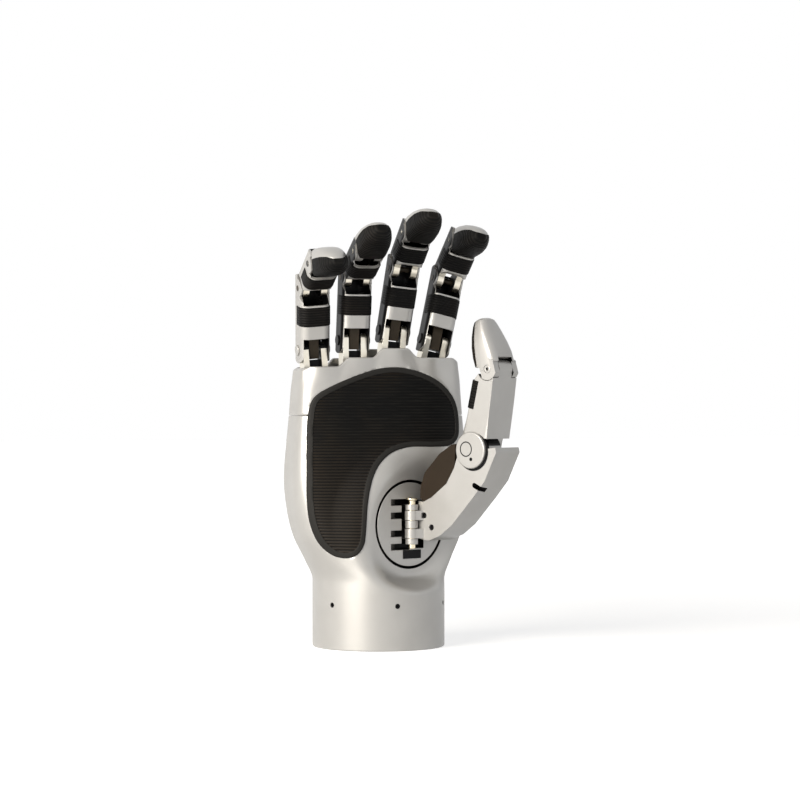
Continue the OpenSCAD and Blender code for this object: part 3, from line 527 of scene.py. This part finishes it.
def cover():
    outer, inner = rim["outer"], rim["inner"]
    rows = [("seam", 0.09, -0.3)] + [("wall", share, 0.0) for share in np.linspace(0, 1, 26)]
    rows += [("rim", -outer + outer * math.sin(a), -outer + outer * math.cos(a))
             for a in np.linspace(0.2, math.pi / 2, 5)]
    rows += [("rim", -inner + inner * math.cos(a), inner - palm["wall"] - inner * math.sin(a))
             for a in np.linspace(0, math.pi / 2, 4)]
    rows += [("wall", share, -palm["wall"]) for share in np.linspace(0.93, 0, 9)]
    grid = []
    for kind, value, grow in rows:
        z = coverHeights(kind, value, grow)
        x = palmPoints(angles, z, grow)[:, 0]
        near = ease((z - (rimZ(x) - 13)) / 12)
        wave = rim["wave"] * np.cos(2 * math.pi * (x - rim["baseX"][0]) / rim["pitch"]) * near
        grid.append(palmPoints(angles, z, grow + wave * (np.abs(np.sin(angles)) > 0.2) - rim["wave"] * near))
    grid = underPad(np.stack(grid))
    mesh = squared(meshOf("knuckleCover", grid.reshape(-1, 3), hoopFaces(len(rows), palm["columns"])))
    addPiece("knuckleCover", mesh, "palm", silver, ("knuckle_cover",), 50)


def padPlan():                   # the pad's face in (x, z), as points and triangles
    spots = [tuple(p) for p in padEdge]
    edges = [(k, (k + 1) % len(padEdge)) for k in range(len(padEdge))]
    inner = []
    for k, z in enumerate(np.arange(pad["low"], pad["high"], pad["ribs"] / 4)):
        xs = np.arange(pad["left"], pad["right"], pad["spacing"]) + (pad["spacing"] / 2 if k % 2 else 0)
        inner += [(x, z) for x in xs]
    inner = np.array(inner)
    inner = inner[depthInside(inner) > pad["border"] + 0.8]
    ways = np.roll(padEdge, -1, axis=0) - np.roll(padEdge, 1, axis=0)
    normals = np.stack([ways[:, 1], -ways[:, 0]], axis=-1) / np.hypot(*ways.T)[:, None]
    if (depthInside(padEdge + normals * 0.5) < 0).mean() > 0.5:
        normals = -normals
    for off in (0.12, 0.3, 0.6, 1.1, 1.7, 2.2, pad["border"], pad["border"] + 0.25, pad["border"] + 0.5):
        loop = padEdge + normals * off
        keep = depthInside(loop) > off - 0.03
        spots += [tuple(p) for p in loop[keep][::1 if off < 2 else 2]]
    spots += [tuple(p) for p in inner]
    made = delaunay_2d_cdt([Vector(p) for p in spots], edges, [tuple(range(len(padEdge)))], 1, 1e-5)
    return np.array([tuple(v) for v in made[0]]), [tuple(face) for face in made[2]]


def palmPad():                   # a rounded border, a groove and fine level ribs
    flat, faces = padPlan()
    deep = np.maximum(depthInside(flat), 0)
    edge = np.sqrt(np.clip(1 - (1 - np.clip(deep / 0.9, 0, 1)) ** 2, 0, 1))
    field = ease((deep - pad["border"]) / 0.3)
    ribs = np.abs(np.sin(math.pi * (flat[:, 1] - pad["low"]) / pad["ribs"]))
    height = -0.5 + (pad["proud"] + 0.5) * edge + field * (-pad["groove"] + pad["depth"] * ribs)
    top = np.stack([flat[:, 0], frontY(flat[:, 0], flat[:, 1], 0) - height, flat[:, 1]], axis=-1)
    count = len(flat)
    order = {tuple(np.round(flat[k], 4)): k for k in range(count) if deep[k] < 1e-4}
    keys = [tuple(np.round(p, 4)) for p in padEdge]
    loop = [order[key] for key in keys if key in order]
    points = np.vstack([top, top[loop] + np.array([0, 0.6, 0])])
    faces += [(loop[c], loop[(c + 1) % len(loop)], count + (c + 1) % len(loop), count + c)
              for c in range(len(loop))]
    piece = addPiece("palmPad", squared(meshOf("palmPad", points, faces)), "palm", palmRubber,
                     ("palm_pad",), 50)
    for name, values in (("along", points[:, 2] - pad["low"] + pad["ribs"] / 2),
                         ("field", np.concatenate([field, np.zeros(len(loop))]))):
        layer = piece.data.attributes.new(name, "FLOAT", "POINT")
        layer.data.foreach_set("value", values.astype(np.float32))


housing()
rotorRecess()
cover()
palmPad()
print("palm made")


# --- fingers and thumb: directions and places ---

restBend = {"pinky": (14.5, 45, 29), "ring": (7.5, 50, 4), "middle": (10.5, 29, 28), "index": (-4, 34, 51)}
spreads = {"pinky": -4.9, "ring": -0.3, "middle": 5.6, "index": 13.4}
thumb = {"yaw": 209, "bends": (-13.5, 30.5), "face": 9.2, "capFace": 10.7}
thumbTurn = math.radians(thumb["yaw"])
thumbSide = Vector((math.cos(thumbTurn), math.sin(thumbTurn), 0))
thumbPalmar = Vector((math.sin(thumbTurn), -math.cos(thumbTurn), 0))


def fingerTurn(finger):
    return Matrix.Rotation(math.radians(spreads[finger]), 3, "Y")


def jointAt(name):
    return Vector(joints[name]["pos_m"]) / mm


thumbJoint = jointAt("thumb_middle_bend")


def segmentAxes():               # each moving body's own upward direction at rest
    axes = {}
    for finger in fingers:
        turned = fingerTurn(finger)
        for part, bend in zip(("proximal", "middle", "distal"), restBend[finger]):
            turned = turned @ Matrix.Rotation(math.radians(bend), 3, "X")
            axes[finger + "_" + part] = turned.col[2].copy()
    turned = Matrix.Rotation(thumbTurn, 3, "Z")
    axes["thumb_metacarpal"] = turned.col[2].copy()
    for part, bend in zip(("proximal", "distal"), thumb["bends"]):
        turned = turned @ Matrix.Rotation(math.radians(bend), 3, "X")
        axes["thumb_" + part] = turned.col[2].copy()
    return axes


segmentAxis = segmentAxes()


def markAlong(piece, axis):      # writes each point's place along the segment, in millimetres
    layer = piece.data.attributes.new("along", "FLOAT", "POINT")
    layer.data.foreach_set("value", [vertex.co.dot(axis) / mm for vertex in piece.data.vertices])


# --- which faces take a second material ---

def facesInward(node):           # those that look at the segment's own middle line; they take a painted shade
    body = bodyOf[node]
    axis = segmentAxis.get(body) or segmentAxis[body.replace("knuckle", "proximal")]
    start = jointAt(next(name for name, joint in joints.items() if joint["child"] == body))

    def test(centre, normal):
        arm = centre - start
        arm -= axis * arm.dot(axis)
        return arm.length > 0.5 and normal.dot(arm.normalized()) < -0.25
    return test


def facesSideways(node):         # the outer side walls, which take a painted shade
    side = fingerTurn(node.split("_")[0]).col[0].copy()
    inward = facesInward(node)
    return lambda centre, normal: abs(normal.dot(side)) > 0.8 and not inward(centre, normal)


def frameHighlight(node):           # painted highlight: the link ends in the finger's middle joint, whose forward faces take bright nickel where they catch the light
    finger = node.split("_")[0]
    side, start = fingerTurn(finger).col[0].copy(), jointAt(finger + "_middle_bend")
    return lambda centre, normal: abs((centre - start).dot(side)) > 3.3 and normal.y < -0.3


def belowDisc(centre):           # how deep a place lies below the rotor's face, and how far from its middle
    arm = centre - rotorCentre
    depth = arm.dot(rotorInward)
    return depth, (arm - rotorInward * depth).length


def rotorSlotShade(centre, normal):   # painted shade on what lies below the disc's face
    depth, far = belowDisc(centre)
    return depth > 0.45 and far < 19.5 and (far > 5 or depth > 2.5)


# painted shade on the rim's sides below the disc's face
def rimShade(centre, normal):
    depth, far = belowDisc(centre)
    return depth > 0.45 and far >= 19.5


def tongueDark(centre, normal):  # painted shade on the metacarpal's tongue, in the dark between the cheeks
    arm = centre - thumbJoint
    return abs(arm.dot(thumbSide)) < 4.9 and arm.z > -1.5 and arm.dot(thumbPalmar) > -7


def slotShade():                 # painted shade: black that pales towards the slots' closed ends
    paint = Paint("slotShade")
    across = paint.placeAlong((math.cos(rotorTurn) / mm, math.sin(rotorTurn) / mm, 0))
    middle = palm["centre"][0] * math.cos(rotorTurn) + palm["centre"][1] * math.sin(rotorTurn)
    dark = (across - middle).between(-8.6, -4.6)
    return paint.set(Base_Color=paint.mix(dark, (0.3, 0.29, 0.28, 1), (0.006, 0.006, 0.006, 1)),
                     Roughness=0.4, Specular_IOR_Level=0.15)


# --- small dark pieces ---

web = {"left": -4.6, "right": 4.6, "low": -24, "top": -5.22, "front": -0.6, "thick": 1.2}
block = {"left": -4.4, "right": 7.1, "low": -17, "top": -12.7, "proud": 0.2, "thick": 0.4}


def corners(shape):
    left, right, low, top = shape["left"], shape["right"], shape["low"], shape["top"]
    return [(left, low), (right, low), (right, top), (left, top)]


def knuckleShadeSheet(finger):          # painted shadow: a black plate between the posts, below the link, where the knuckle's inside is in shade
    turned = fingerTurn(finger)
    start = jointAt(finger + "_knuckle_bend") + turned @ Vector((0, web["front"], 0))
    mesh = prism(finger + "KnuckleWeb", corners(web), start, turned.col[0], turned.col[2],
                 turned.col[1] * web["thick"])
    addPiece(finger + "KnuckleWeb", mesh, finger + "_knuckle", black)


def rotorBlock():                # at the shaft's foot
    start = rotorCentre - rotorInward * block["proud"]
    mesh = prism("rotorBlock", corners(block), start, rotorAcross, upward, rotorInward * block["thick"])
    addPiece("rotorBlock", mesh, "thumb_rotor", black)


def inlay(name, outline, body, lift, thick=0.12):  # a thin dark shape on the thumb's side face
    start = thumbJoint + thumbSide * (lift - thick)
    mesh = prism(name, outline, start, thumbPalmar, upward, thumbSide * thick)
    addPiece(name, mesh, body, black)


slot = {"start": (-0.5, -16.4), "out": (-0.9, -0.436), "half": 1.25, "reach": 9, "long": 6.9, "drop": 1.5,
        "above": 0.6}


def thumbSlot():                 # the slot over the metacarpal's outer edge, and a test for its walls, which take a painted shade
    out = thumbPalmar * slot["out"][0] + upward * slot["out"][1]
    rise = out.cross(thumbSide).normalized()
    half = slot["half"]
    turns = [math.pi * k / 12 for k in range(13)]
    outline = [(half - half * math.sin(turn), half * math.cos(turn)) for turn in turns]
    outline += [(slot["reach"], -half), (slot["reach"], half)]
    start = (thumbJoint + thumbPalmar * slot["start"][0] + upward * slot["start"][1]
             + thumbSide * (thumb["face"] + slot["above"]))
    along = thumbSide * -slot["long"] - upward * slot["drop"]

    def test(centre, normal):
        arm = centre - start
        far = -arm.dot(thumbSide) / slot["long"]
        arm -= along * far
        deep = arm.dot(out)
        within = -0.05 < far < 1.02 and abs(arm.dot(rise)) < half + 0.02 and -0.1 < deep < 5
        return (within and (deep < 1 or abs(normal.dot(out)) < 0.7)
                and (far > 0.5 or abs(normal.dot(thumbSide)) < 0.9))
    return bareObject("slotCut", prism("slotCut", outline, start, out, rise, along)), test


cap = {"radius": 9, "edge": 0.8, "round": 0.7, "sides": 96, "hub": 0.01, "ringAt": (2.4, 0.5), "ringOuter": 3.75,
       "ringInner": 3.2, "ringSides": 72, "ringLift": 0.14, "sunk": 0.1, "dotAt": (-0.7, -4.4),
       "dotRadius": 0.9, "shadeAt": (-0.95, -0.75), "axleAt": (-9.45, 39.38), "axleRadius": 0.5}


def jointCap():                  # a smooth disc
    radius, edge, bend = cap["radius"], cap["edge"], cap["round"]
    profile = [(cap["hub"], 0), (radius, 0), (radius, edge)]
    profile += [(radius - bend + bend * math.cos(a), edge + bend * math.sin(a))
                for a in np.linspace(0.2, math.pi / 2, 6)]
    profile += [(cap["hub"], thumb["capFace"] - thumb["face"])]
    base = thumbJoint + thumbSide * thumb["face"]
    turns = [2 * math.pi * k / cap["sides"] for k in range(cap["sides"])]
    points = [base + thumbSide * y + thumbPalmar * (r * math.cos(turn)) + upward * (r * math.sin(turn))
              for r, y in profile for turn in turns]
    mesh = squared(meshOf("thumbJointCap", points, tubeFaces(len(profile), cap["sides"])))
    levelled(addPiece("thumbJointCap", mesh, "thumb_proximal", silver,
                      ("thumb_joint_cap",)))


def capTrim():                   # a fine dark ring and dots, and the shade below the cap
    sides, face, top = cap["ringSides"], thumb["face"], thumb["capFace"]
    outer, inner = (ringOf(cap[name], sides, cap["ringAt"]) for name in ("ringOuter", "ringInner"))
    start = thumbJoint + thumbSide * (top - cap["sunk"])
    points = [start + thumbSide * lift + thumbPalmar * x + upward * y
              for loop, lift in ((outer, 0), (outer, cap["ringLift"]), (inner, cap["ringLift"]), (inner, 0))
              for x, y in loop]
    addPiece("capRing", squared(meshOf("capRing", points, tubeFaces(4, sides))), "thumb_proximal",
             black)
    inlay("axleDot", ringOf(cap["axleRadius"], 24, cap["axleAt"]), "thumb_proximal", face, 0.3)
    inlay("capDot", ringOf(cap["dotRadius"], 24, cap["dotAt"]), "thumb_proximal", top + 0.04)
    inlay("capShade", ringOf(cap["radius"] + 0.35, sides, cap["shadeAt"]), "thumb_metacarpal", face + 0.1)


for node in frame["nodes"]:
    if node in ("palm_housing", "knuckle_cover", "palm_pad"):
        continue
    if node.endswith("_pad"):
        padPaint = thumbRubber if node.startswith("thumb") else rubber
        piece = refined(node, material=leafRubber if node == "thumb_metacarpal_pad" else padPaint)
        markAlong(piece, segmentAxis[bodyOf[node]])
    elif node.endswith("linkage"):
        refined(node, material=umber)
    elif node == "thumb_rotor":
        # painted shade below the disc's face, in its slots and on its rim
        paintFaces(paintFaces(refined(node), slotShade(), rotorSlotShade), black, rimShade)
    elif node == "thumb_metacarpal":
        cutter, slotTest = thumbSlot()
        piece = refined(node, 0.7, 3, cutter=cutter)
        # painted shade on the tongue and on the slot's walls
        paintFaces(piece, black, lambda *face: tongueDark(*face) or slotTest(*face))
    elif node == "thumb_joint_cap":
        jointCap()
        capTrim()
    elif node == "thumb_end_axle":
        refined(node, material=silver)
    elif node.endswith("_knuckle_pins"):
        # painted shade: the knuckle pins of ring, middle and index take the side walls' near black
        refined(node, material=silver if node.startswith("pinky") else darkChrome)
    elif node == "thumb_swing_pin":
        refined(node, material=gold)
    elif node.endswith("_frame"):
        # painted highlight: the link ends' forward faces take bright nickel
        paintFaces(refined(node), nickel, frameHighlight(node))
    elif node.endswith("_shell") or node.endswith("_knuckle"):
        # painted shade: the faces that look inward are black
        piece = paintFaces(refined(node), black, facesInward(node))
        if node.split("_")[0] in fingers[1:] and node.split("_")[1] in ("proximal", "middle"):
            # painted shade: the side walls of ring, middle and index go near black, for their dark reflection
            paintFaces(piece, darkChrome, facesSideways(node))
    else:
        refined(node)
for finger in fingers:
    knuckleShadeSheet(finger)
rotorBlock()
print("pieces made")


# --- floor, light and camera ---

view = {"turn": -20, "aim": 10.75, "height": 122.6, "distance": 1250, "lens": 112.5, "sensor": 36}
ground = {"half": 6, "colour": (0.6, 0.6, 0.6, 1), "roughness": 0.8, "glow": 0.67, "extra": 0.26,
          "near": 0.12, "far": 1.0}
skyLight = 0.17
lamps = {"keyLight": {"at": (-0.93, -0.51, 0.45), "size": 0.7, "power": 19, "tint": (1, 0.94, 0.85)},
         "fillLight": {"at": (0.8, -0.7, 0.5), "size": 0.6, "power": 0.35, "tint": (0.95, 0.97, 1)}}
lampAim = Vector((0, 0, 0.11))


def makeCamera():
    turn = math.radians(view["turn"])
    right = Vector((math.cos(turn), math.sin(turn), 0))
    back = Vector((math.sin(turn), -math.cos(turn), 0))
    camera = bareObject("camera", bpy.data.cameras.new("camera"))
    camera.data.lens, camera.data.sensor_width = view["lens"], view["sensor"]
    camera.location = (right * view["aim"] + back * view["distance"] + upward * view["height"]) * mm
    camera.rotation_euler = (-back).to_track_quat("-Z", "Y").to_euler()
    bpy.context.scene.camera = camera


def makeFloor():                 # it glows more further out, where the lamps don't reach
    half = ground["half"]
    mesh = bpy.data.meshes.new("floor")
    mesh.from_pydata([(-half, -half, 0), (half, -half, 0), (half, half, 0), (-half, half, 0)], [],
                     [(0, 1, 2, 3)])
    paint = Paint("paleFloor")
    away = paint.node("ShaderNodeVectorMath", {"operation": "LENGTH"}, {0: paint.spot()}, output=1)
    glow = away.between(ground["near"], ground["far"]) * ground["extra"] + ground["glow"]
    mesh.materials.append(paint.set(Base_Color=ground["colour"], Roughness=ground["roughness"],
                                    Emission_Color=paint.seenRays() * glow, Emission_Strength=1.0))
    bareObject("floor", mesh)


def makeWorld():                 # soft on the object, and white where it is seen
    world = bpy.data.worlds.new("studio")
    world.use_nodes = True
    bpy.context.scene.world = world
    sky = Nodes(world.node_tree)
    light = sky.tree.nodes["Background"]
    sky.feed(light.inputs["Color"], (1, 1, 1, 1))
    sky.feed(light.inputs["Strength"], skyLight)
    shown = sky.node("ShaderNodeBackground", {}, {"Color": (1, 1, 1, 1), "Strength": 1.0})
    mixed = sky.node("ShaderNodeMixShader", {}, {0: sky.seenRays(), 1: Wire(sky, light.outputs[0]), 2: shown})
    sky.feed(sky.tree.nodes["World Output"].inputs[0], mixed)


def makeLamps():
    for name, lamp in lamps.items():
        made = bareObject(name, bpy.data.lights.new(name, "AREA"))
        made.data.size, made.data.energy, made.data.color = lamp["size"], lamp["power"], lamp["tint"]
        made.location = lamp["at"]
        made.rotation_euler = (lampAim - Vector(lamp["at"])).to_track_quat("-Z", "Y").to_euler()


bpy.context.scene.view_settings.view_transform = "Standard"
makeCamera()
makeFloor()
makeWorld()
makeLamps()
print("studio made")
